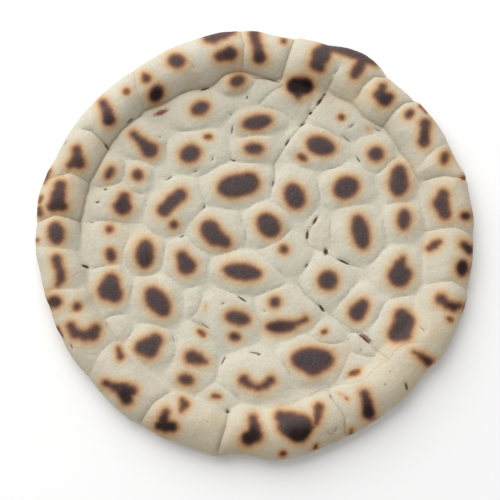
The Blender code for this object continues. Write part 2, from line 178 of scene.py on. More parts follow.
# The charred spots: kind, then touches. Three numbers are a circle's x, y and radius, joined to the
# circle before it; five are an ellipse's x, y, half length, half width and turn in degrees.
CHAR = (
    (DARK, (-9.1, 28, 11.4, 6.8, 9), (-2.8, 29.9, 5.9)),
    (DARK, (22.4, 22.1, 7.5, 5.7, -74)),
    (DARK, (7.8, 5.6, 7.6, 6, -58)),
    (DARK, (-24.3, 3.3, 5.2), (-21.5, -0.8, 5), (-16, -3.6, 3.6)),
    (SMALL, (16.3, -7.8, 2.5)),
    (DARK, (-6.5, -20.3, 10.9, 4.9, -8)),
    (DARK, (-39.2, -11.9, 3.1), (-36.7, -16.7, 5.1)),
    (DARK, (-49.3, 14.4, 3.7), (-45, 19, 3.9), (-40.5, 22.7, 3.8)),
    (SMALL, (-43.8, 6, 2.5)),
    (DARK, (11.1, -37, 3.1)),
    (DARK, (40.1, -25, 5.5)),
    (DARK, (50.6, 26.9, 7.5, 6.3, 30)),
    (DARK, (79.9, 31, 9.3, 5.2, 84), (79.6, 28.4, 5.4)),
    (DARK, (82.2, 9.1, 6, 3.8, 80)),
    (DARK, (58.1, 1.9, 9.8, 4.9, -80)),
    (DARK, (80.8, -13.4, 1.7), (79.1, -17, 3.4), (78.7, -22.3, 6.2), (82, -21.3, 3.8)),
    (DARK, (58.9, -37.9, 2.6), (57.2, -40.4, 3.9), (55.4, -42.7, 4.8)),
    (DARK, (79.3, -44.7, 4), (81.7, -47.4, 4.5), (79.6, -50.5, 5.6), (76.4, -54.3, 4.3),
     (80.6, -54.4, 4)),
    (DARK, (31.2, -68, 11.7, 6.7, -3), (31.2, -69.6, 7.1)),
    (DARK, (14.4, -50.2, 8.2, 3.5, 3), (19.5, -49.7, 2), (23.8, -48.1, 1.1), (27.6, -46.4, 1.6)),
    (DARK, (-8.7, -45.7, 6.8, 4, -12)),
    (SMALL, (-10.3, -55.8, 3.1, 2.3, -10)),
    (BROWN, (-28.2, -53.7, 2.6, 1.4, -38)),
    (DARK, (-33.5, -66.7, 3.5), (-29.5, -67.9, 3), (-26.1, -69.3, 1.5)),
    (DARK, (-36.1, -78.8, 4.1, 3.1, -12)),
    (BROWN, (-19.9, -87.6, 2.5, 1.1, -8)),
    (DARK, (-5.5, -78.9, 2.6), (-2.3, -81.6, 1.8), (2.3, -83, 1.6), (6.2, -81.6, 1.8), (8.8, -79, 2.5)),
    (DARK, (-60, -61.4, 3.7), (-55.9, -62, 5.1), (-52.9, -57.9, 3.7), (-56.2, -60.6, 5.1)),
    (DARK, (-52, -36.7, 9.3, 5.7, -53)),
    (DARK, (-77.4, -25.2, 3.9), (-79.8, -30.8, 4.8), (-75.4, -32.7, 4.3), (-77.7, -29.6, 5.9)),
    (DARK, (-59.3, -10.3, 8.2, 5.2, 89)),
    (SMALL, (-79.1, 3.4, 2.1)),
    (SMALL, (-77.9, -10.9, 4, 2.9, 104)),
    (DARK, (-71.4, 21.4, 2.9), (-72, 16.7, 5.2)),
    (DARK, (-79.8, 35.3, 4.2, 2.4, 63)),
    (SMALL, (-64.2, 34.1, 3.2)),
    (DARK, (-66.8, 57.5, 1.9), (-62.2, 52.9, 2.7), (-57.9, 48.6, 4.8)),
    (DARK, (-35.3, 46.4, 6.1, 5, 35)),
    (BROWN, (-25.5, 56.2, 2.3, 1.5, 0)),
    (DARK, (-30.1, 72.8, 5.4, 3.9, 25)),
    (DARK, (-9.2, 89, 4.6, 3.4, 25)),
    (DARK, (1.8, 64.6, 8.3, 4.4, 12)),
    (FAINT, (12, 66.3, 0.6)),
    (DARK, (0.1, 49.5, 5.5, 3.4, 0)),
    (DARK, (37, 51, 8.3, 5.5, -15)),
    (SMALL, (26.8, 44.2, 2.9, 1.8, -30)),
    (DARK, (67.7, 46.3, 4.5)),
    (BROWN, (48.8, 67.4, 1.8)),
    (TAN, (63.5, 60.9, 1, 0.6, -20)),
    (BROWN, (37.7, -53, 1.6, 1.1, 20)),
    (BROWN, (53.5, -75, 3.1, 1.5, 18)),
    (TAN, (-26.3, -39.6, 1.3, 0.35, 75)),
    # the rim, anticlockwise from the top
    (DARK, (-43.5, 100.8, 4.9, 4.4, 0)),
    (SMALL, (-60.5, 90.4, 2.4), (-62, 92.8, 0.9)),
    (DARK, (-54.6, 81.4, 5.5, 4.1, 65)),
    (BROWN, (-71.5, 82.7, 1.9)),
    (DARK, (-84.3, 75.8, 2.2), (-81.9, 71, 2.9), (-80.9, 66.1, 3.6)),
    (DARK, (-98.2, 48.3, 2.4), (-97.4, 42.4, 3.5), (-96.6, 40.6, 2.9), (-101.6, 39.6, 1.7),
     (-98.4, 43.4, 3.1)),
    (DARK, (-106.8, 27.9, 3), (-107.6, 22.6, 3.9), (-107.9, 18.2, 4.6)),
    (DARK, (-110.8, 16.1, 2.6), (-104.9, 16.2, 2.8)),
    (DARK, (-117.8, 14.2, 1.7), (-117.6, 12.4, 2.3)),
    (BROWN, (-117, 21.5, 0.7), (-117.8, 18.9, 0.9)),
    (SMALL, (-113.5, 36.5, 1), (-114.6, 33.4, 1.3), (-116, 30.4, 1.3)),
    (DARK, (-108.1, 1.3, 6.5, 4.5, -80)),
    (BROWN, (-118.3, -2.6, 0.8)),
    (DARK, (-107.2, -13.6, 2.5), (-106.9, -15.9, 2.4), (-104.9, -21, 2.3), (-104.7, -24, 2.2),
     (-106.4, -27.2, 1.4)),
    (TAN, (-108, -29, 0.6), (-111.6, -31, 0.8)),
    (DARK, (-107.7, -36.8, 4.4, 3.4, 0)),
    (SMALL, (-95.4, -39.5, 2.3)),
    (DARK, (-98.4, -50, 2.2), (-96.1, -53.8, 2.8), (-91, -55.2, 2.7), (-86.6, -54.2, 3.4),
     (-85, -51.6, 2.8)),
    (RUDDY, (-106.1, -51.8, 1.1), (-104.1, -55.6, 1.2)),
    (SMALL, (-72.7, -62.4, 0.9), (-71.4, -66.4, 1.8)),
    (DARK, (-78.9, -80.5, 1.6), (-74.4, -82.5, 2.3), (-69, -84.6, 4.3), (-67.4, -88.9, 3.5)),
    (DARK, (-68.5, -84.6, 3.6), (-65, -84.6, 3.2)),
    (DARK, (-46.6, -96.2, 2), (-47.9, -99.9, 3)),
    (DARK, (-50.1, -103, 2.4), (-46.9, -103.3, 3.2), (-43.2, -103.5, 3)),
    (SMALL, (-38.2, -89.7, 1.2), (-36.9, -91.8, 2.2), (-38.6, -94.8, 1.3)),
    (DARK, (-0.5, -99.7, 2), (0.3, -103.4, 3), (0.4, -108, 3.9), (-3.2, -109.8, 4.1)),
    (DARK, (14.2, -98.4, 3), (18.6, -100.6, 5), (24.6, -103.5, 6.4), (23.2, -105.8, 5.9),
     (17.6, -103, 5.6)),
    (SMALL, (34.3, -93.5, 2.3), (33.8, -97.6, 1.9), (32.8, -101.5, 1.4)),
    (BROWN, (30.9, -103.6, 1.3)),
    (RUDDY, (15.3, -117.6, 1.8, 1.4, 0)),
    (RUDDY, (32.5, -113.8, 1, 0.7, 50)),
    (RUDDY, (51.2, -106.1, 1.4, 0.9, 80)),
    (DARK, (58.6, -86.4, 2.1), (59.9, -91, 2.9), (60.6, -96.3, 3.6)),
    (BROWN, (49, -88.7, 0.8, 0.35, -35)),
    (TAN, (46.1, -86.5, 1.2, 0.5, -35)),
    (DARK, (85.6, -64, 0.7), (89.3, -66.2, 1.7), (93, -69.1, 2.5)),
    (RUDDY, (105.3, -46.3, 1.7, 1.3, -30)),
    (DARK, (101, -35.2, 2.6), (104.2, -38.2, 2.2), (107.6, -39.5, 2.3), (110.8, -38.8, 1.8)),
    (DARK, (113, -18.1, 4.9, 3.6, 82)),
    (DARK, (114.3, -5.3, 2), (117.4, -8.2, 2.8)),
    (SMALL, (95.3, -7.3, 1.4), (98.2, -5.4, 2), (101, -3.7, 1.4)),
    (DARK, (115.8, 10.9, 2.9, 2.4, 0)),
    (DARK, (104, 23, 2.8), (102.8, 17.9, 4.3), (104.6, 12.3, 3.5)),
    (RUDDY, (115.4, 32.4, 0.9)),
    (SMALL, (105.6, 43.9, 3.9, 2.7, 75)),
    (DARK, (95.4, 63.8, 3), (95.1, 59, 2.5), (94.3, 53.5, 3.4)),
    (SMALL, (86.8, 69.4, 3.3, 2.4, 48)),
    (RUDDY, (93.4, 74.2, 0.8), (96.3, 70.8, 0.9)),
    (DARK, (72.1, 85.3, 2.1), (70.6, 80.6, 3.3), (73.3, 78, 4), (76, 79.4, 2.7)),
    (DARK, (37, 96.9, 2.8), (35.4, 98.6, 3.8), (38, 104.3, 5.4), (42.5, 109.5, 3.8), (49.5, 108, 3.4),
     (56.5, 105.6, 3.6), (62.5, 102.6, 3.4), (68.5, 99.8, 2)),
    (DARK, (60.8, 100.4, 3.1), (58.8, 96.3, 3.1), (56.9, 92.8, 2.8)),
    (DARK, (23.2, 85.9, 4.9), (28.4, 85.8, 5.3)),
    (DARK, (25, 82.6, 3.6), (24.8, 79.2, 1.2)),
    (SMALL, (17, 112.9, 1.9)),
    (DARK, (0, 117, 2.7), (0.8, 113.5, 2.6), (2.2, 109, 2.7), (3.2, 102.9, 4)),
    (DARK, (-18.8, 103.6, 3.1), (-13.6, 105.1, 4.4)),
    (DARK, (-26.2, 114.4, 2.1), (-22.8, 114.8, 3.4), (-17.4, 116.7, 2.7), (-11.8, 118.5, 1.6)),
)

# Black soot on the char: x, y, radius, strength
SOOT = (
    (23, 86, 8.5, 1), (29, 86, 8.5, 1), (-54.6, 81, 6.5, 0.9), (22, -109, 10.5, 0.95),
    (27.5, -109, 10.5, 0.97), (-1.8, -108.2, 8.5, 0.9), (-50.2, -103.2, 6.5, 0.8),
    (-47.3, -103.4, 6, 0.8), (-44.3, -103.6, 6.5, 0.8), (-47.8, -99.5, 5, 0.5), (60.9, -95.6, 7.5, 0.85),
    (60, -90.5, 6, 0.45), (113.5, -18, 7, 0.85), (-81.2, 66, 6.5, 0.5), (-111, 16, 5.5, 0.4),
    (-106, 16.5, 6, 0.5), (-72, 16.5, 7, 0.35), (73.5, 78.5, 6.5, 0.5), (-14, 105, 6.5, 0.4),
    (3, 103.2, 6.5, 0.45), (117.2, -7.6, 5.5, 0.7), (115.9, 10.8, 4.5, 0.6), (92.6, -68.8, 5.5, 0.55),
    (-68.3, -87, 7, 0.75), (-72, -83.5, 6, 0.35), (-79, -80.3, 4.5, 0.4), (36.4, 96.5, 7, 0.3),
    (-97.5, 40.5, 7, 0.3), (-9.4, 89.2, 5, 0.3), (107, -39.5, 5.5, 0.5), (12, -50.3, 7, 0.3),
    (-59.2, -13, 7, 0.3), (15.3, -117.6, 3, 0.8), (96, 57, 6, 0.3), (-107.8, -37, 5.5, 0.35),
)

# Where the dough is paler with flour or darker, and where it is baked warmer. Some patches are painted
# light and shade: paler on flanks that face the light, darker along seams and creases in shade, and
# warmer and darker where the rim's sides are shaded. The middle is darker towards the far side. Each is
# x, y, radius, how much paler or, below 0, darker, and how warm
TONES_AND_PAINTED_LIGHT = (
    (-5, 74, 34, -0.12, 0), (45, 72, 26, -0.07, 0), (-48, 68, 28, -0.1, 0), (-70, 30, 24, -0.07, 0),
    (0, -74, 40, 0.06, 0), (64, -64, 34, 0.05, 0), (66, -30, 24, 0.06, 0), (-66, -50, 26, 0.02, 0),
    (-29, -66, 20, 0.03, 0), (-8, -16, 16, 0.07, 0), (19, -6, 12, -0.05, 0), (-70, 2, 22, 0, 0.3),
    (-56, -112, 30, -0.06, 0.7), (-8, -128, 32, -0.11, 1), (46, -120, 32, -0.11, 1),
    (90, -86, 32, 0, 0.9), (112, -44, 30, 0.03, 0.5), (116, 4, 26, 0, 0.5), (112, 40, 22, 0.06, 0.6),
    (94, 36, 14, 0.05, 0.1), (-112, -36, 26, 0, 0.4), (-92, -36, 14, -0.06, 0.2),
    (-98, -70, 26, -0.02, 0.4), (-107, 28, 20, 0, 0.4), (-92, 40, 14, -0.05, 0.3),
    (30, 91, 13, -0.07, 0.8), (-12, 96, 16, -0.07, 0.7), (60, 80, 13, 0.05, 0.7), (-84, 54, 14, 0, 0.4),
    (43, 75, 7, -0.03, 0.4), (-20, -101, 5, -0.02, 0.6), (23, 93.5, 6, 0.15, 0),
    (38, 80.5, 5, -0.13, 0.3), (10, -90, 9, 0.12, 0), (27, -86, 8, 0.11, 0), (42, -79.5, 7, 0.1, 0),
    (70, -64, 7, -0.05, 0.3), (-68, -44, 5, -0.07, 0), (-58, 82, 20, -0.05, 0.4), (8, 98, 10, -0.03, 0.5),
    (33, 94, 9, 0, 0.3), (72, 66, 14, 0, 0.4), (96, -54, 9, 0, 0.4), (-30, -104, 9, -0.05, 0.4),
    (48, -64, 8, -0.02, 0.5), (50, 84, 9, -0.02, 0.4), (-103, 8, 9, -0.02, 0.4),
    (-104, -33, 8, -0.06, -0.35), (4, -98, 6, 0.08, -0.3), (6, -111, 6, -0.1, 0.2), (62, -47, 6, 0.08, 0),
    (94, 32, 5, 0.08, 0), (35, -104, 6, -0.06, 0.1), (-30, 86, 9, -0.05, 0.3), (30, 79, 9, -0.19, 0.2),
    (-35, 92, 9, -0.12, 0.5), (-95, 20, 8, 0.05, 0.4), (94, -52, 9, 0.07, 0), (-56, 76, 8, 0, 0.4),
    (20.5, 96, 6, 0.12, 0), (20, 91.5, 5, 0.2, 0), (18.5, 78, 8, -0.13, 0.1), (24, 75, 6, -0.08, 0),
    (24, 78.5, 6, -0.07, 0), (67, 2, 8, -0.05, 0), (1, 57.5, 7, 0.06, 0), (-50, -27, 7, 0.06, 0),
    (40, -112, 14, -0.05, 0), (93, -43, 7, -0.05, 0),
)

# The browned patches underneath: x, y, radius
UNDER_PATCHES = (
    (-62, 40, 11), (-20, 66, 8), (31, 58, 12), (73, 22, 9), (10, 12, 13), (-38, -6, 9), (-80, -22, 8),
    (52, -34, 12), (-14, -52, 10), (-56, -60, 8), (22, -84, 9), (84, -48, 6), (-4, 96, 6), (95, -8, 5),
    (-90, 12, 6),
)

# The viewer's place and what it looks at, and the height at which the marks were placed from there
EYE = np.array((-2.2, -141.8, 638.9))
LOOK_AT = np.array((-2.2, -7.0, 4.5))
MARK_HEIGHT = 10.0
SENSOR = 36.0  # the width of the camera's sensor

# Seeded waves: the shortest and the longest, how many, and the seed
UNEVENNESS, WRINKLES = (9, 30, 24, 5), (2.6, 6, 40, 9)
WANDER_X, WANDER_Y, CRISPNESS = (9, 26, 16, 41), (9, 26, 16, 42), (14, 40, 16, 43)
DIMPLES, SMALL_DIMPLES = (14, 40, 20, 21), (4, 9, 30, 22)
PATCH_EDGES, MOTTLING, RAGGED = (5, 18, 30, 31), (2.5, 7, 40, 32), (8, 18, 30, 51)
CLIMB = 1.5  # how steeply such waves run up at most, where heights are given

# How dents and marks end. Folds and the rim's foot are measured by the gap in height across them.
FAR_OFF = 9.0  # the distance of a point that is far from any line or slit
NOWHERE = 99.0  # the distance before any spot, patch or dome is counted
LINE_FADE = 3  # the length over which a fine line fades at both ends
SLIT_REACH, SLIT_FADE = 3, 1.5  # how far off a slit's mark ends, and over what distance it fades
SLIT_DENT, LINE_DENT, FOLD_DENT, FOOT_DENT = 1.1, 1.1, 0.35, 1.2  # how wide the dents are
FOLD_REACH, FOOT_REACH = 0.6, 3  # the gaps at which their marks end
# The dark lines are painted shade along folds, the rim's foot and fine lines.
FOLD_LINE, FOOT_LINE, FINE_LINE = 0.3, 1.5, 0.6  # how wide the dark lines are
FULL_FOLD = 0.5  # how high above the sheet domes meet in a fold of full strength
CRISP_MEAN, CRISP_SWING, CRISP_LEAST = 0.7, 0.8, 0.25  # how deep folds are cut, as a share
DIMPLE_FADE = 0.1  # the share of the underside over which its dimples fade in
SMALL_SHARE, DIMPLE_LEVEL = 0.4, 0.1  # small dimples to broad ones, and where either starts
STEEP_FROM = 0.6  # the share of the way from the crest to the widest line where it turns steep
SIDE_REACH = 6  # how much further out the side's char is read at the underside's edge
SIDE_PALER = 4  # how much further off the underside's browning is at the widest line
TOUCH_BLEND, PATCH_BLEND = 1.2, 8  # how softly a spot's touches and the underside's patches join
PATCH_RAGGED, PATCH_FADE = 4, 2.6  # how ragged those patches are, and how softly they end
PATCH_DISTANCE, PATCH_LIFT, MOTTLE = 2, 4.6, 0.7  # a patch's distance, its surroundings', the mottle's
SOOT_FALL = 1.3  # how steeply soot falls off towards its radius
SOOT_FROM, SOOT_FADE = 0.3, 2  # how far from the char soot starts, and over what it comes in

# The char's colours by distance, and the distances at the ramp's two ends
CHAR_NEAR, CHAR_FAR = -9.0, 21.0
CHAR_STOPS = (
    (-5.0, "ash"), (-3.0, "char"), (-2.0, "umber"), (-1.1, "scorch"), (-0.4, "toast"), (0.3, "tan"),
    (1.0, "amber"), (2.0, "wheat"), (3.2, "straw"), (4.6, "cream"), (6.5, "flour"), (14.0, "dough"),
)

BURNT = (-2.5, -0.6)  # the distances between which ash specks fade out
BAKED = (-2.5, 1.0)  # the distances between which the char's roughness gives way to the dough's
SLIT_RIM = (0.75, 1.5)  # where a slit's dark starts to fade and ends, in its own half widths
CRUST_SHEEN, FLOOR_SHEEN, FLOOR_ROUGHNESS = 0.12, 0.1, 0.9

# Noise: scale in cycles per metre, detail, the range it is read over and what that is carried to
BROAD_WOBBLE, FINE_WOBBLE = (90, 2, 0.3, 0.7, -0.3, 0.3), (420, 2, 0.3, 0.7, -0.16, 0.16)
FLOUR = (
    (45, 3, 0.35, 0.65, 0.965, 1.03), (520, 3, 0.3, 0.7, 0.955, 1.04), (1300, 2, 0.3, 0.7, 0.925, 1.075),
)
# Ash specks are partly painted glints on the char.
ASHES_AND_GLINTS, SLIT_EDGE = (1600, 2, 0.42, 0.72, 0, 0.8), (900, 2, 0.3, 0.7, -0.25, 0.25)

# The bump's strength and depth in metres, and its noises: scale, detail, roughness, share
BUMP_STRENGTH, BUMP_DEPTH = 0.6, 0.0006
BUMP_NOISES = ((420, 4, 0.6, 1), (2400, 2, 0.55, 0.3), (1100, 2, 0.55, 0.35))
ROW_LENGTH, ACROSS, DOWN = 8, 200, -300  # how many of a material's nodes stand in a row, and their steps


# ---------------------------------------------------------------------------- shape


def swelled(angle, mean, swells):
    """A mean that swells round the naan: plus a Gaussian of the angle, in radians, for each swell."""
    total = np.full_like(angle, mean)
    for centre, half_width, height in swells:
        away = (np.degrees(angle) - centre + 180) % 360 - 180
        total += height * np.exp(-((away / half_width) ** 2))
    return total


def outline_radius(angle, size):
    """The outline's radius: the mean radius with its swells and nicks."""
    return swelled(angle, size.radius / MM, OUTLINE_SWELLS + OUTLINE_NICKS)


def runs(points):
    """The straight runs of a line, from each of its points to the next."""
    return list(zip(points[:-1], points[1:]))


def in_plan(radius, angle):
    """Places in plan, from the middle: the radius times the angle's cosine and its sine."""
    return radius * np.cos(angle), radius * np.sin(angle)


def run_distance(x, y, start, end):
    """Each point's nearest place on a straight run, from 0 to 1 along it, and how far off that is."""
    (ax, ay), (bx, by) = start, end
    dx, dy = bx - ax, by - ay
    along = np.clip(((x - ax) * dx + (y - ay) * dy) / (dx * dx + dy * dy), 0, 1)
    return along, np.hypot(x - ax - along * dx, y - ay - along * dy)


def turned(x, y, centre_x, centre_y, turn):
    """Distances from a centre along and across a direction, given as a turn in degrees."""
    cos, sin = np.cos(np.radians(turn)), np.sin(np.radians(turn))
    return (x - centre_x) * cos + (y - centre_y) * sin, (y - centre_y) * cos - (x - centre_x) * sin


def waves(x, y, shortest, longest, count, seed, z=0):
    """Gentle unevenness, mostly from -1 to 1: a sum of plane waves of random direction, length and phase.

    Where heights are given, each wave runs up or down too, more or less steeply by its direction.
    """
    draw = np.random.default_rng(seed)
    total = np.zeros_like(x)
    for _ in range(count):
        turn, phase = draw.uniform(0, 2 * np.pi, 2)
        wavelength = draw.uniform(shortest, longest)
        along = x * np.cos(turn) + y * np.sin(turn) + z * CLIMB * np.sin(3 * turn)
        total += np.sin(2 * np.pi * along / wavelength + phase)
    return total / np.sqrt(count * 2)


def skin_relief(x, y, size):
    """The skin's broad unevenness and its fine wrinkles."""
    return (size.unevenness / MM * waves(x, y, *UNEVENNESS)
            + size.wrinkle / MM * waves(x, y, *WRINKLES))


def rim_groove(x, y):
    """The depth of the rim's creases: each falls off exponentially, and the deepest counts."""
    groove = np.zeros_like(x)
    for depth, width, _, *points in RIM_CREASES:
        for start, end in runs(points):
            away = run_distance(x, y, start, end)[1]
            groove = np.maximum(groove, depth * np.exp(-away / width))
    return groove


def fine_lines(x, y):
    """Where the nearest fine line runs: its distance, with a sign for the side, and its strength.

    The strength is the line's own, and fades towards both ends.
    """
    nearest, side, strength = np.full_like(x, FAR_OFF), np.full_like(x, FAR_OFF), np.zeros_like(x)
    for fine, *points in [crease[2:] for crease in RIM_CREASES] + list(SEAMS):
        spans = [np.hypot(bx - ax, by - ay) for (ax, ay), (bx, by) in runs(points)]
        for i, (start, end) in enumerate(runs(points)):
            along, away = run_distance(x, y, start, end)
            (ax, ay), (bx, by) = start, end
            cross = (x - ax) * (by - ay) - (y - ay) * (bx - ax)
            travelled = along * spans[i] + sum(spans[:i])
            ends = np.clip(np.minimum(travelled, sum(spans) - travelled) / LINE_FADE, 0, 1)
            closer = away < nearest
            nearest = np.where(closer, away, nearest)
            side = np.where(closer, np.where(cross < 0, -away, away), side)
            strength = np.where(closer, fine * ends, strength)
    return side, strength


def rounded(gap, rounding):
    """How much is added to the higher of two heights that are a gap apart, to round where they meet:
    the square of what the gap is short of the rounding, over four times the rounding."""
    rounding = rounding / MM
    return np.maximum(rounding - np.abs(gap), 0) ** 2 / (4 * rounding)


def highest_dome(x, y, size):
    """The highest of the pillows' domes and the sheet, rounded where a dome runs out on the sheet,
    and the fold between the two highest domes: its gap in height and its strength.

    A dome's height over the sheet is rise (1 - r^p), with r the elliptical distance from its
    middle. The gap has a sign, so that it runs straight through 0 along the fold: the dome listed
    earlier has the positive side. A fold is strongest where its domes meet well above the sheet.
    """
    first, second = np.full_like(x, -NOWHERE), np.full_like(x, -NOWHERE)
    first_of, second_of = np.full(x.shape, -1), np.full(x.shape, -1)
    wander = size.wander / MM
    x, y = x + wander * waves(x, y, *WANDER_X), y + wander * waves(x, y, *WANDER_Y)
    for i, (centre_x, centre_y, half_length, half_width, turn, rise) in enumerate(PILLOWS):
        along, across = turned(x, y, centre_x, centre_y, turn)
        ellipse = np.hypot(along / half_length, across / half_width) / size.spread
        dome = rise * (1 - ellipse**size.dome_power)
        above, between = dome > first, (dome > second) & (dome <= first)
        second = np.where(above, first, np.where(between, dome, second))
        second_of = np.where(above, first_of, np.where(between, i, second_of))
        first, first_of = np.where(above, dome, first), np.where(above, i, first_of)
    gap = (first - second) * np.sign(second_of - first_of)
    height = np.maximum(first, 0) + rounded(first, size.sheet_rounding)
    return size.sheet / MM + height, gap, np.clip(second / FULL_FOLD, 0, 1)


def slit_place(x, y, slits):
    """Each point's place in its nearest slit, and its distance from it.

    The place is along and across in half lengths and half widths, then how dark the slit is, which
    fades to 0 where the slit's reach ends.
    """
    place = np.full((len(x), 3), FAR_OFF)
    nearest = np.full_like(x, np.inf)
    for centre_x, centre_y, half_length, half_width, turn, dark in slits:
        along, across = turned(x, y, centre_x, centre_y, turn)
        away = np.hypot(np.maximum(np.abs(along) - half_length, 0), across)
        here = np.column_stack((along / half_length, across / half_width, np.full_like(x, dark)))
        place = np.where((away < nearest)[:, None], here, place)
        nearest = np.minimum(nearest, away)
    place[:, 2] *= np.clip((SLIT_REACH - nearest) / SLIT_FADE, 0, 1)
    return place, nearest


def foot_sharpness(angle):
    """How sharp the rim's foot is, the most of its sharp stretches, each with soft ends."""
    degrees = np.degrees(angle) % 360
    sharpness = np.zeros_like(angle)
    for start, end, start_over, end_over, sharp in SHARP_FOOT:
        inside = np.minimum((degrees - start) / start_over, (end - degrees) / end_over)
        sharpness = np.maximum(sharpness, sharp * np.clip(inside, 0, 1))
    return sharpness


def top_surface(share, angle, size):
    """The top, from share 0 at its middle to 1 at the widest line, and the marks that it carries.

    Up to the crest it is a height field, the higher of the rim's arch and the pillowed middle.
    Past it the rim is a quarter ellipse. Folds are cut deeper, more in some places than in others.
    The rim's foot is a crease where it is sharp, on the far side, and is rounded off elsewhere.
    """
    rim_top, widest, sheet = size.rim_top / MM, size.widest / MM, size.sheet / MM
    crest_in = size.crest_in / MM
    crest_radius = outline_radius(angle, size) - crest_in
    inward = crest_radius * np.maximum(1 - share / size.crest_share, 0)
    lean = np.pi / 2 * np.clip((share - size.crest_share) / (1 - size.crest_share), 0, 1)
    radius = crest_radius - inward + crest_in * np.sin(lean)
    x, y = in_plan(radius, angle)
    groove = rim_groove(x, y) * (1 - (1 - size.edge_crease) * np.sin(lean))
    slit, slit_away = slit_place(x, y, SLITS)
    side, line = fine_lines(x, y)
    relief = skin_relief(x, y, size)
    relief -= size.slit_depth / MM * np.exp(-((slit_away / SLIT_DENT) ** 2))
    relief -= size.line_depth / MM * line**1.5 * np.exp(-np.abs(side) / LINE_DENT)

    fall = (inward / swelled(angle, size.flank / MM, FOOT_SWELLS)) ** size.flank_power
    arch = rim_top - (rim_top - sheet) * fall - groove
    pillowed, gap, strength = highest_dome(x, y, size)
    foot_gap = arch - pillowed
    sharp = foot_sharpness(angle) * (lean == 0)
    crisp = np.clip(CRISP_MEAN + CRISP_SWING * waves(x, y, *CRISPNESS), CRISP_LEAST, 1)
    crisp *= strength * (foot_gap < 0)
    height = np.maximum(arch, pillowed) + (1 - sharp) * rounded(foot_gap, size.foot_rounding)
    height += relief
    height -= size.crease_depth / MM * crisp * np.exp(-np.abs(gap) / FOLD_DENT)
    height -= size.foot_depth / MM * sharp * np.exp(-np.abs(foot_gap) / FOOT_DENT)

    past = lean > 0
    outward = relief - groove
    radius = np.where(past, radius + outward * np.sin(lean), radius)
    over = widest + (rim_top - widest) * np.cos(lean) + outward * np.cos(lean)
    height = np.where(past, over, height)
    nothing = np.zeros_like(x)
    return np.column_stack((*in_plan(radius, angle), height)), {
        "fold": np.column_stack((gap, crisp * np.clip(1 - np.abs(gap) / FOLD_REACH, 0, 1), nothing)),
        "foot": np.column_stack((foot_gap, sharp * (np.abs(foot_gap) < FOOT_REACH), nothing)),
        "line": np.column_stack((side, line, nothing)),
        "slit": slit,
        "tear": slit_place(x, y, TEARS)[0],
    }


def side_surface(share, angle, size):
    """From the widest line at share 0 down a quarter ellipse to the underside's edge at share 1."""
    lean = np.pi / 2 * share
    outline = outline_radius(angle, size)
    x, y = in_plan(outline, angle)
    groove = size.edge_crease * rim_groove(x, y) * np.cos(lean)
    relief = skin_relief(x, y, size) * np.cos(lean)
    radius = outline - size.undercut / MM * (1 - np.cos(lean)) - groove + relief
    height = size.widest / MM * (1 - np.sin(lean))
    return np.column_stack((*in_plan(radius, angle), height))


def under_surface(share, angle, size):
    """The underside, from its edge at share 0 to its middle at share 1: flat, with shallow dimples
    that fade towards the edge."""
    radius = (outline_radius(angle, size) - size.undercut / MM) * (1 - share)
    x, y = in_plan(radius, angle)
    dimples = waves(x, y, *DIMPLES) + waves(x, y, *SMALL_DIMPLES) * SMALL_SHARE
    dimples = np.clip(dimples - DIMPLE_LEVEL, 0, 1) * np.clip(share / DIMPLE_FADE, 0, 1)
    return np.column_stack((x, y, size.dimple / MM * dimples))


def stitch(big_start, big, small_start, small):
    """Triangles between two rings, facing the side from which both run anticlockwise.

    Each edge of the bigger ring is joined to the smaller ring's nearest point, and each edge of
    the smaller ring to the point where that nearest point changes.
    """
    here = np.arange(big)
    nearest = np.floor((here + 0.5) * small / big + 0.5).astype(int) % small
    edges = np.column_stack((here + big_start, (here + 1) % big + big_start, nearest + small_start))
    before = np.roll(nearest, 1)
    turns = here[nearest != before]
    steps = np.column_stack((before[turns] + small_start, turns + big_start,
                             nearest[turns] + small_start))
    return np.concatenate((edges, steps))


def ring_faces(counts, growing):
    """Triangles between each ring and the next, facing out. The first so many rings grow."""
    starts = np.cumsum([0] + counts)
    faces = []
    for i in range(len(counts) - 1):
        ring, after = (starts[i], counts[i]), (starts[i + 1], counts[i + 1])
        faces.append(stitch(*after, *ring) if i < growing else stitch(*ring, *after)[:, ::-1])
    return np.concatenate(faces)


def ring_grid(counts, shares):
    """Every point's share and angle, for rings of the given point counts."""
    angle = np.concatenate([np.arange(n) * 2 * np.pi / n for n in counts])
    return np.repeat(shares, counts), angle


# ---------------------------------------------------------------------------- char


def as_placed(point):
    """Where a point's line of sight crosses the height at which the marks were placed, in plan."""
    sight = point - EYE
    reach = (MARK_HEIGHT - EYE[2]) / sight[:, 2]
    return (EYE + sight * reach[:, None])[:, :2].T


def soft_least(a, b, blend):
    """The smaller of two distances, rounded where they are within blend of each other."""
    near = np.maximum(blend - np.abs(a - b), 0) / blend
    return np.minimum(a, b) - near * near * blend / 4


def ellipse_distance(x, y, centre_x, centre_y, half_length, half_width, turn):
    """The distance from an ellipse, near enough: its level value over the value's slope."""
    along, across = turned(x, y, centre_x, centre_y, turn)
    level = np.hypot(along / half_length, across / half_width)
    slope = np.hypot(along / half_length**2, across / half_width**2)
    return level * (level - 1) / np.maximum(slope, 1e-6)


def bar_distance(x, y, start, end):
    """The distance from a bar that tapers from one circle to another."""
    along, away = run_distance(x, y, start[:2], end[:2])
    return away - (start[2] + along * (end[2] - start[2]))


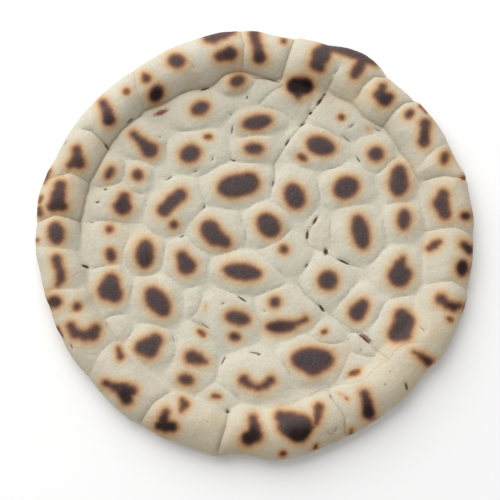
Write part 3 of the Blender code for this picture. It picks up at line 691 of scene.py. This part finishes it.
def spot_distance(x, y, touches):
    """The distance from one spot, its parts run together softly.

    A touch of five numbers is an ellipse: its centre, half length, half width and turn. One of
    three is a circle, joined by a tapered bar to the circle before it.
    """
    nearest, before = None, None
    for touch in touches:
        if len(touch) == 5:
            part, before = ellipse_distance(x, y, *touch), None
        else:
            part = (bar_distance(x, y, before, touch) if before else
                    np.hypot(x - touch[0], y - touch[1]) - touch[2])
            before = touch
        nearest = part if nearest is None else soft_least(nearest, part, TOUCH_BLEND)
    return nearest


def ragged_edge(points, share, size):
    """How much further off the char is, by a wandering amount, on the rim's steep outer side."""
    x, y, z = points.T
    return size.ragged / MM * share * waves(x, y, *RAGGED, z)


def char_field(x, y, further):
    """The distance to the nearest char, negative inside it, how black its soot is, and how red."""
    distance, soot, redness = np.full_like(x, NOWHERE), np.zeros_like(x), np.zeros_like(x)
    for (deepest, steepness, red), *touches in CHAR:
        spot = spot_distance(x, y, touches)
        spot = np.maximum(spot * np.where(spot > 0, steepness, 1) + max(deepest, 0), deepest)
        redness = np.where(spot < distance, red, redness)
        distance = np.minimum(distance, spot)
    distance += further
    for centre_x, centre_y, radius, strength in SOOT:
        away = np.hypot(x - centre_x, y - centre_y) / radius
        near = np.clip(SOOT_FALL * (1 - away), 0, 1)
        soot = np.maximum(soot, strength * near**2 * (3 - 2 * near))
    soot *= np.clip((SOOT_FROM - distance) / SOOT_FADE, 0, 1)
    return distance, soot, redness * np.clip(1 - distance, 0, 1)


def dough_tone_and_painted_light(x, y):
    """How pale the dough is, from about 1, and how warm, from 0: a Gaussian for each patch. The patches
    are partly flour and baking and partly painted light and shade.
    """
    pale, warm = np.ones_like(x), np.zeros_like(x)
    for centre_x, centre_y, radius, paler, warmer in TONES_AND_PAINTED_LIGHT:
        near = np.exp(-2 * ((x - centre_x) ** 2 + (y - centre_y) ** 2) / radius**2)
        pale += paler * near
        warm += warmer * near
    return np.column_stack((pale, np.minimum(warm, 1), np.zeros_like(x)))


def under_field(x, y):
    """The underside's browning as a distance, never darker than amber: patches with ragged edges
    that fade over a few millimetres, and finer mottling."""
    distance = np.full_like(x, NOWHERE)
    for centre_x, centre_y, radius in UNDER_PATCHES:
        patch = np.hypot(x - centre_x, y - centre_y) - radius
        distance = soft_least(distance, patch, PATCH_BLEND)
    ragged = distance + PATCH_RAGGED * waves(x, y, *PATCH_EDGES)
    outside = 1 / (1 + np.exp(-np.clip(ragged, -30, 30) / PATCH_FADE))
    return PATCH_DISTANCE + PATCH_LIFT * outside + MOTTLE * waves(x, y, *MOTTLING)


# ---------------------------------------------------------------------------- materials


class Nodes:
    """A new material and its nodes, set out in rows in the order in which they are made."""

    def __init__(self, name):
        self.material = bpy.data.materials.new(name)
        self.material.use_nodes = True
        self.tree = self.material.node_tree
        self.coords = None

    def add(self, kind, **settings):
        """Add a node with its settings, in the next place."""
        row, place = divmod(len(self.tree.nodes), ROW_LENGTH)
        node = self.tree.nodes.new(kind)
        node.location = (ACROSS * (place - ROW_LENGTH), DOWN * row)
        for name, value in settings.items():
            setattr(node, name, value)
        return node

    def feed(self, inputs, **values):
        """Put a value on each named input."""
        for name, value in values.items():
            self.put(inputs[name.replace("_", " ")], value)

    def put(self, socket, value):
        """Link a socket to another, or set it to a number or a colour."""
        if isinstance(value, bpy.types.NodeSocket):
            self.tree.links.new(value, socket)
        else:
            socket.default_value = value if isinstance(value, (int, float)) else (*value, 1.0)

    def shade(self, **values):
        """Set the shader's own inputs."""
        self.feed(self.tree.nodes["Principled BSDF"].inputs, **values)

    def math(self, operation, *values):
        """One step of arithmetic on sockets and numbers."""
        node = self.add("ShaderNodeMath", operation=operation)
        for socket, value in zip(node.inputs, values):
            self.put(socket, value)
        return node.outputs[0]

    def mix(self, factor, a, b, blend="MIX"):
        """Colour a carried towards b, or towards its blend with b, by a factor from 0 to 1."""
        node = self.add("ShaderNodeMix", data_type="RGBA", blend_type=blend)
        for socket, value in zip((node.inputs["Factor"], *node.inputs[6:8]), (factor, a, b)):
            self.put(socket, value)
        return node.outputs[2]

    def remap(self, value, low, high, to_low, to_high):
        """A value carried linearly from one range to another and kept inside it."""
        node = self.add("ShaderNodeMapRange", clamp=True)
        self.feed(node.inputs, Value=value, From_Min=low, From_Max=high, To_Min=to_low, To_Max=to_high)
        return node.outputs["Result"]

    def noise(self, scale, detail, roughness=0.55):
        """Noise at a scale in cycles per metre, in the object's own coordinates."""
        self.coords = self.coords or self.add("ShaderNodeTexCoord").outputs["Object"]
        node = self.add("ShaderNodeTexNoise")
        self.feed(node.inputs, Vector=self.coords, Scale=scale, Detail=detail, Roughness=roughness)
        return node.outputs["Fac"]

    def grain(self, scale, detail, low, high, to_low, to_high):
        """Noise, carried from its own range to another."""
        return self.remap(self.noise(scale, detail), low, high, to_low, to_high)

    def value(self, name):
        """A number that the mesh carries."""
        return self.add("ShaderNodeAttribute", attribute_name=name).outputs["Fac"]

    def parts(self, name):
        """The three parts of a vector that the mesh carries."""
        held = self.add("ShaderNodeAttribute", attribute_name=name)
        node = self.add("ShaderNodeSeparateXYZ")
        self.feed(node.inputs, Vector=held.outputs["Vector"])
        return node.outputs

    def char_colour(self, distance, crust):
        """The char's colours by distance, from the burnt middle out to the pale dough."""
        ramp = self.add("ShaderNodeValToRGB")
        self.feed(ramp.inputs, Fac=self.remap(distance, CHAR_NEAR, CHAR_FAR, 0, 1))
        elements = ramp.color_ramp.elements
        for i, (distance_mm, name) in enumerate(CHAR_STOPS):
            place = (distance_mm - CHAR_NEAR) / (CHAR_FAR - CHAR_NEAR)
            element = elements[i] if i < 2 else elements.new(place)
            element.position = place
            element.color = (*getattr(crust, name), 1.0)
        return ramp.outputs["Color"]

    def line(self, name, width, shade):
        """How shaded a line is: most on it, and not at all from the width away. The mesh carries the
        distance, with a sign for its side, and the line's strength."""
        away, strength, _ = self.parts(name)
        close = self.remap(self.math("ABSOLUTE", away), 0, width, 1, 0)
        return self.math("MULTIPLY", self.math("MULTIPLY", close, strength), shade)

    def slit(self, name):
        """How dark a slit is: an ellipse in the slit's own place, its edge roughened by noise."""
        along, across, dark = self.parts(name)
        squares = [self.math("MULTIPLY", part, part) for part in (along, across)]
        radius = self.math("SQRT", self.math("ADD", *squares))
        radius = self.math("ADD", radius, self.grain(*SLIT_EDGE))
        return self.math("MULTIPLY", self.remap(radius, *SLIT_RIM, 1, 0), dark)


def crust_material(crust):
    """Baked crust: char colours by distance, soot, ash specks that are partly painted glints, creases and
    slits darkened with painted shade, a floury mottle with painted light and shade in its broad patches,
    and a bump of fine grain."""
    nodes = Nodes("naan crust")

    # The char's edge wanders a little, in two sizes.
    wobble = nodes.math("ADD", nodes.grain(*BROAD_WOBBLE), nodes.grain(*FINE_WOBBLE))
    distance = nodes.math("ADD", nodes.value("char"), wobble)
    colour = nodes.char_colour(distance, crust)

    # Darker and lighter flour, in broad patches and fine ones, and where the dough is warmer. The broad
    #     # patches and the warmth are partly painted light and shade.
    pale, warm, _ = nodes.parts("tone_and_painted_light")
    for flour in FLOUR:
        pale = nodes.math("MULTIPLY", pale, nodes.grain(*flour))
    brightness = nodes.add("ShaderNodeCombineColor")
    nodes.feed(brightness.inputs, Red=pale, Green=pale, Blue=pale)
    colour = nodes.mix(1.0, colour, brightness.outputs["Color"], "MULTIPLY")
    # The warmth tint is partly baking and partly painted shade on the rim's shaded sides.
    colour = nodes.mix(warm, colour, crust.warmth_and_painted_shade, "MULTIPLY")

    # Small spots are redder, soot deepens the blackest ones, and ash specks the char; the specks are
    #     # partly painted glints.
    soot = nodes.value("soot")
    colour = nodes.mix(nodes.value("redness"), colour, crust.ruddy, "MULTIPLY")
    colour = nodes.mix(soot, colour, crust.soot)
    burnt = nodes.remap(distance, *BURNT, 1, 0)
    ashes_and_glints = nodes.math("MULTIPLY", nodes.grain(*ASHES_AND_GLINTS), burnt)
    ashes_and_glints = nodes.math("MULTIPLY", ashes_and_glints, nodes.math("SUBTRACT", 1.0, soot))
    colour = nodes.mix(ashes_and_glints, colour, crust.speck_and_glint)

    # Painted shade darkens the folds, the rim's foot and the fine lines, and slits are darkest.
    shade = nodes.line("fold", FOLD_LINE, crust.fold_shade)
    shade = nodes.math("MAXIMUM", shade, nodes.line("foot", FOOT_LINE, crust.foot_shade))
    shade = nodes.math("MAXIMUM", shade, nodes.line("line", FINE_LINE, crust.line_shade))
    colour = nodes.mix(shade, colour, crust.crease, "DARKEN")
    colour = nodes.mix(nodes.slit("tear"), colour, crust.tear)
    slit = nodes.slit("slit")
    colour = nodes.mix(slit, colour, crust.slit)

    # The bump: grain, pores and pits, less the shade of creases and slits.
    height = 0
    for scale, detail, roughness, share in BUMP_NOISES:
        height = nodes.math("MULTIPLY_ADD", nodes.noise(scale, detail, roughness), share, height)
    height = nodes.math("SUBTRACT", nodes.math("SUBTRACT", height, shade), slit)
    bump = nodes.add("ShaderNodeBump")
    nodes.feed(bump.inputs, Strength=BUMP_STRENGTH, Distance=BUMP_DEPTH, Height=height)
    roughness = nodes.remap(distance, *BAKED, crust.char_roughness, crust.dough_roughness)
    nodes.shade(Base_Color=colour, Normal=bump.outputs["Normal"], Roughness=roughness,
                Specular_IOR_Level=CRUST_SHEEN)
    return nodes.material


def floor_material(colour):
    """A plain pale matt floor."""
    nodes = Nodes("floor")
    nodes.shade(Base_Color=colour, Roughness=FLOOR_ROUGHNESS, Specular_IOR_Level=FLOOR_SHEEN)
    return nodes.material


# ---------------------------------------------------------------------------- settings


def number(name, description, default, low=0.0, **kind):
    return FloatProperty(name=name, description=description, default=default, min=low, **kind)


def length(name, description, default):
    return number(name, description, default, subtype="DISTANCE", unit="LENGTH")


def fraction(name, description, default):
    return number(name, description, default, max=1.0, subtype="FACTOR")


def whole(name, description, default, low, high):
    return IntProperty(name=name, description=description, default=default, min=low, max=high)


def tint(name, description, *default):
    return FloatVectorProperty(name=name, description=description, default=default, min=0.0,
                               max=1.0, size=3, subtype="COLOR")


class NaanSizes(bpy.types.PropertyGroup):
    radius: length("Radius", "Mean radius of the outline", 0.1194)
    widest: length("Widest height", "Height at which the rim is widest", 0.006)
    rim_top: length("Rim height", "Height of the rim's crest", 0.0165)
    crest_in: length("Crest inset", "How far the crest lies inside the outline", 0.013)
    flank: length("Flank", "Width of the rim's inner flank", 0.0136)
    undercut: length("Undercut", "How far the flat underside's edge lies inside the outline", 0.009)
    sheet: length("Sheet", "Height of the dough between the pillows", 0.0074)
    crease_depth: length("Crease depth", "How much deeper a crease is cut where pillows meet", 0.0007)
    foot_depth: length("Foot depth", "How much deeper the rim's foot is cut on the far side", 0.001)
    slit_depth: length("Slit depth", "Depth of the slits and pinholes", 0.0006)
    line_depth: length("Line depth", "Depth of the fine seams and rim lines", 0.0014)
    sheet_rounding: length("Sheet rounding", "How much of a height gap is filled at a dome's edge",
                           0.0009)
    wander: length("Wander", "How far the pillows' outlines wander", 0.0009)
    foot_rounding: length("Foot rounding", "How much of a height gap the rim's foot fills", 0.002)
    unevenness: length("Unevenness", "Height of the broad unevenness", 0.0002)
    wrinkle: length("Wrinkle", "Height of the fine wrinkles", 0.00006)
    dimple: length("Dimple", "Depth of the underside's dimples", 0.0006)
    ragged: length("Ragged edge", "How ragged the char's edge is on the steep outer side", 0.0022)
    flank_power: number("Flank power", "How late the flank falls", 2.2, 1.0)
    spread: number("Spread", "A dome's size over its pillow's", 1.12, 1.0)
    dome_power: number("Dome power", "How flat the domes' tops are", 2.4, 1.0)
    edge_crease: fraction("Edge crease", "Share of a rim crease at the edge", 0.35)
    crest_share: number("Crest share", "Share of the rings up to the crest", 0.85, 0.1, max=0.95,
                        subtype="FACTOR")
    top_rings: whole("Top rings", "Rings from the middle to the widest line", 160, 12, 165)
    side_rings: whole("Side rings", "Rings below the widest line", 5, 2, 12)
    under_rings: whole("Under rings", "Rings across the underside", 52, 4, 80)


class NaanColours(bpy.types.PropertyGroup):
    ash: tint("Ash", "The middle of a large burnt spot", 0.054, 0.038, 0.038)
    char: tint("Char", "Burnt crust", 0.062, 0.038, 0.036)
    umber: tint("Umber", "Dark brown inside a spot's edge", 0.092, 0.046, 0.037)
    scorch: tint("Scorch", "Red-brown scorch", 0.158, 0.078, 0.048)
    toast: tint("Toast", "Toasted brown", 0.262, 0.143, 0.083)
    tan: tint("Tan", "Tan at a spot's edge", 0.385, 0.222, 0.129)
    amber: tint("Amber", "Light tan round a spot", 0.5, 0.327, 0.189)
    wheat: tint("Wheat", "Yellowed dough round a spot", 0.563, 0.423, 0.264)
    straw: tint("Straw", "Dough with a trace of colour", 0.571, 0.483, 0.344)
    cream: tint("Cream", "Cream dough", 0.565, 0.516, 0.402)
    flour: tint("Flour", "Floury dough between spots", 0.571, 0.536, 0.437)
    dough: tint("Dough", "Dough far from any spot", 0.559, 0.522, 0.411)
    # Warmth: the dough's baked warmth, and painted warm shade where the rim's sides are shaded
    warmth_and_painted_shade: tint("Warmth", "Tint of the dough where it is baked warmer", 1.0, 0.86, 0.72)
    ruddy: tint("Ruddy", "Tint of the small red-brown spots", 1.0, 0.78, 0.55)
    soot: tint("Soot", "The blackest soot", 0.012, 0.005, 0.004)
    # Speck: ash on the char, partly a painted glint
    speck_and_glint: tint("Speck", "Ash specks on the char", 0.12, 0.095, 0.098)
    crease: tint("Crease", "Shaded dough in a crease", 0.25, 0.205, 0.14)
    # Slit: the dark inside of a slit, partly painted shade in its opening
    slit: tint("Slit", "The dark inside of a slit", 0.08, 0.047, 0.022)
    tear: tint("Tear", "The reddish skin of a tear", 0.215, 0.085, 0.048)
    fold_shade: fraction("Fold shade", "How dark the folds between pillows are", 0.42)
    foot_shade: fraction("Foot shade", "How dark the line at the rim's foot is", 0.72)
    line_shade: fraction("Line shade", "How dark the fine lines are", 0.6)
    char_roughness: fraction("Char roughness", "Roughness of the burnt spots", 0.55)
    dough_roughness: fraction("Dough roughness", "Roughness of the dough", 0.75)


class NaanStage(bpy.types.PropertyGroup):
    lens: number("Lens", "Focal length in millimetres", 85.0, 20.0)
    floor: tint("Floor", "The floor's colour", 0.93, 0.93, 0.93)
    floor_size: length("Floor size", "The floor's side", 6.0)
    floor_gap: length("Floor gap", "How far the floor lies below the naan, so the two never flicker",
                      0.0002)
    key_power: number("Key power", "The key light's power", 28.0, unit="POWER")
    key_size: length("Key size", "The key light's side", 1.8)
    key_place: FloatVectorProperty(name="Key place", description="Where the key light stands", size=3,
                                   default=(-0.5, 0.94, 1.0), subtype="TRANSLATION", unit="LENGTH")
    sky: number("Sky", "Strength of the light from all round", 0.5)


# ---------------------------------------------------------------------------- operators


def point_attribute(mesh, name, *values):
    """Keep one number, or one vector, for each point, from parts that follow one another."""
    values = np.concatenate(values)
    kind, field = ("FLOAT", "value") if values.ndim == 1 else ("FLOAT_VECTOR", "vector")
    data = mesh.attributes.new(name, kind, "POINT").data
    data.foreach_set(field, values.astype(np.float32).ravel())


class NAAN_OT_bake(bpy.types.Operator):
    """Build the naan's surface with its char, and its crust"""

    bl_idname = "naan.bake"
    bl_label = "Bake Naan"

    def execute(self, context):
        size = context.scene.naan_sizes
        rings, sides, unders = size.top_rings, size.side_rings, size.under_rings
        top_counts = [1] + [6 * ring for ring in range(1, rings + 1)]
        side_counts = [6 * rings] * sides
        under_counts = [6 * ring for ring in range(unders, 0, -1)] + [1]
        top_share, top_angle = ring_grid(top_counts, np.arange(rings + 1) / rings)
        side_share, side_angle = ring_grid(side_counts, np.arange(1, sides + 1) / sides)
        under_grid = ring_grid(under_counts, 1 - np.arange(unders, -1, -1) / (unders + 1))

        top, marks = top_surface(top_share, top_angle, size)
        side = side_surface(side_share, side_angle, size)
        under = under_surface(*under_grid, size)
        points = np.concatenate((top, side, under))
        mesh = bpy.data.meshes.new("naan_crust")
        faces = ring_faces(top_counts + side_counts + under_counts, rings)
        mesh.from_pydata(points * MM, [], faces)
        mesh.shade_smooth()

        # The side's marks go on outwards from the widest line, and the underside has its own.
        past_crest = (top_share - size.crest_share) / (1 - size.crest_share)
        steep = np.clip((past_crest - STEEP_FROM) / (1 - STEEP_FROM), 0, 1)
        char = char_field(*as_placed(top), ragged_edge(top, steep, size))
        reach = outline_radius(side_angle, size) + SIDE_REACH * side_share
        side_ragged = ragged_edge(side, 1 - side_share, size)
        side_char = list(char_field(*in_plan(reach, side_angle), side_ragged))
        blank = np.zeros(len(under))
        under_char = (under_field(*under[:, :2].T), blank, blank)
        side_browning = under_field(*side[:, :2].T) + SIDE_PALER * (1 - side_share)
        side_char[0] = np.minimum(side_char[0], side_browning)
        for name, *parts in zip(("char", "soot", "redness"), char, side_char, under_char):
            point_attribute(mesh, name, *parts)
        point_attribute(mesh, "tone_and_painted_light", dough_tone_and_painted_light(*points[:, :2].T))
        unmarked = np.full((len(side) + len(under), 3), (FAR_OFF, 0, 0))
        for name, values in marks.items():
            point_attribute(mesh, name, values, unmarked)

        naan = bpy.data.objects.new("naan_crust", mesh)
        context.scene.collection.objects.link(naan)
        mesh.materials.append(crust_material(context.scene.naan_colours))
        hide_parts("naan")
        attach(naan, "root")
        return {"FINISHED"}


class NAAN_OT_stage(bpy.types.Operator):
    """Set the pale floor, the soft lights and the camera"""

    bl_idname = "naan.stage"
    bl_label = "Set Stage"

    def execute(self, context):
        scene, stage = context.scene, context.scene.naan_stage
        half, low = stage.floor_size / 2, -stage.floor_gap
        mesh = bpy.data.meshes.new("floor")
        floor_corners = ((-half, -half, low), (half, -half, low), (half, half, low), (-half, half, low))
        mesh.from_pydata(floor_corners, [], [(0, 1, 2, 3)])
        mesh.materials.append(floor_material(stage.floor))
        floor = bpy.data.objects.new("floor", mesh)
        scene.collection.objects.link(floor)

        key = bpy.data.lights.new("key", "AREA")
        key.energy, key.shape, key.size = stage.key_power, "SQUARE", stage.key_size
        key_object = bpy.data.objects.new("key", key)
        key_object.location = stage.key_place
        key_object.rotation_euler = (-key_object.location).to_track_quat("-Z", "Y").to_euler()
        scene.collection.objects.link(key_object)

        scene.world = bpy.data.worlds.new("sky")
        scene.world.use_nodes = True
        background = scene.world.node_tree.nodes["Background"]
        background.inputs["Color"].default_value = (1.0, 1.0, 1.0, 1.0)
        background.inputs["Strength"].default_value = stage.sky

        lens = bpy.data.cameras.new("camera")
        lens.lens, lens.sensor_width = stage.lens, SENSOR
        camera = bpy.data.objects.new("camera", lens)
        camera.location = Vector(EYE * MM)
        camera.rotation_euler = Vector(LOOK_AT - EYE).to_track_quat("-Z", "Y").to_euler()
        scene.collection.objects.link(camera)
        scene.camera = camera
        scene.view_settings.view_transform = "Standard"
        return {"FINISHED"}


class NAAN_PT_panel(bpy.types.Panel):
    """The naan's sizes, colours and stage"""

    bl_idname = "NAAN_PT_panel"
    bl_label = "Naan"
    bl_space_type = "VIEW_3D"
    bl_region_type = "UI"
    bl_category = "Naan"

    def draw(self, context):
        for operator, group in (("naan.bake", "naan_sizes"), (None, "naan_colours"),
                                ("naan.stage", "naan_stage")):
            box = self.layout.box()
            settings = getattr(context.scene, group)
            for name in settings.__annotations__:
                box.prop(settings, name)
            if operator:
                box.operator(operator)


GROUPS = {"naan_sizes": NaanSizes, "naan_colours": NaanColours, "naan_stage": NaanStage}
CLASSES = (*GROUPS.values(), NAAN_OT_bake, NAAN_OT_stage, NAAN_PT_panel)


def register():
    for cls in CLASSES:
        bpy.utils.register_class(cls)
    for name, group in GROUPS.items():
        setattr(bpy.types.Scene, name, PointerProperty(type=group))


def unregister():
    for name in GROUPS:
        delattr(bpy.types.Scene, name)
    for cls in reversed(CLASSES):
        bpy.utils.unregister_class(cls)


def main():
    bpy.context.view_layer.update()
    register()
    bpy.ops.naan.bake()
    bpy.ops.naan.stage()


if __name__ == "__main__":
    main()
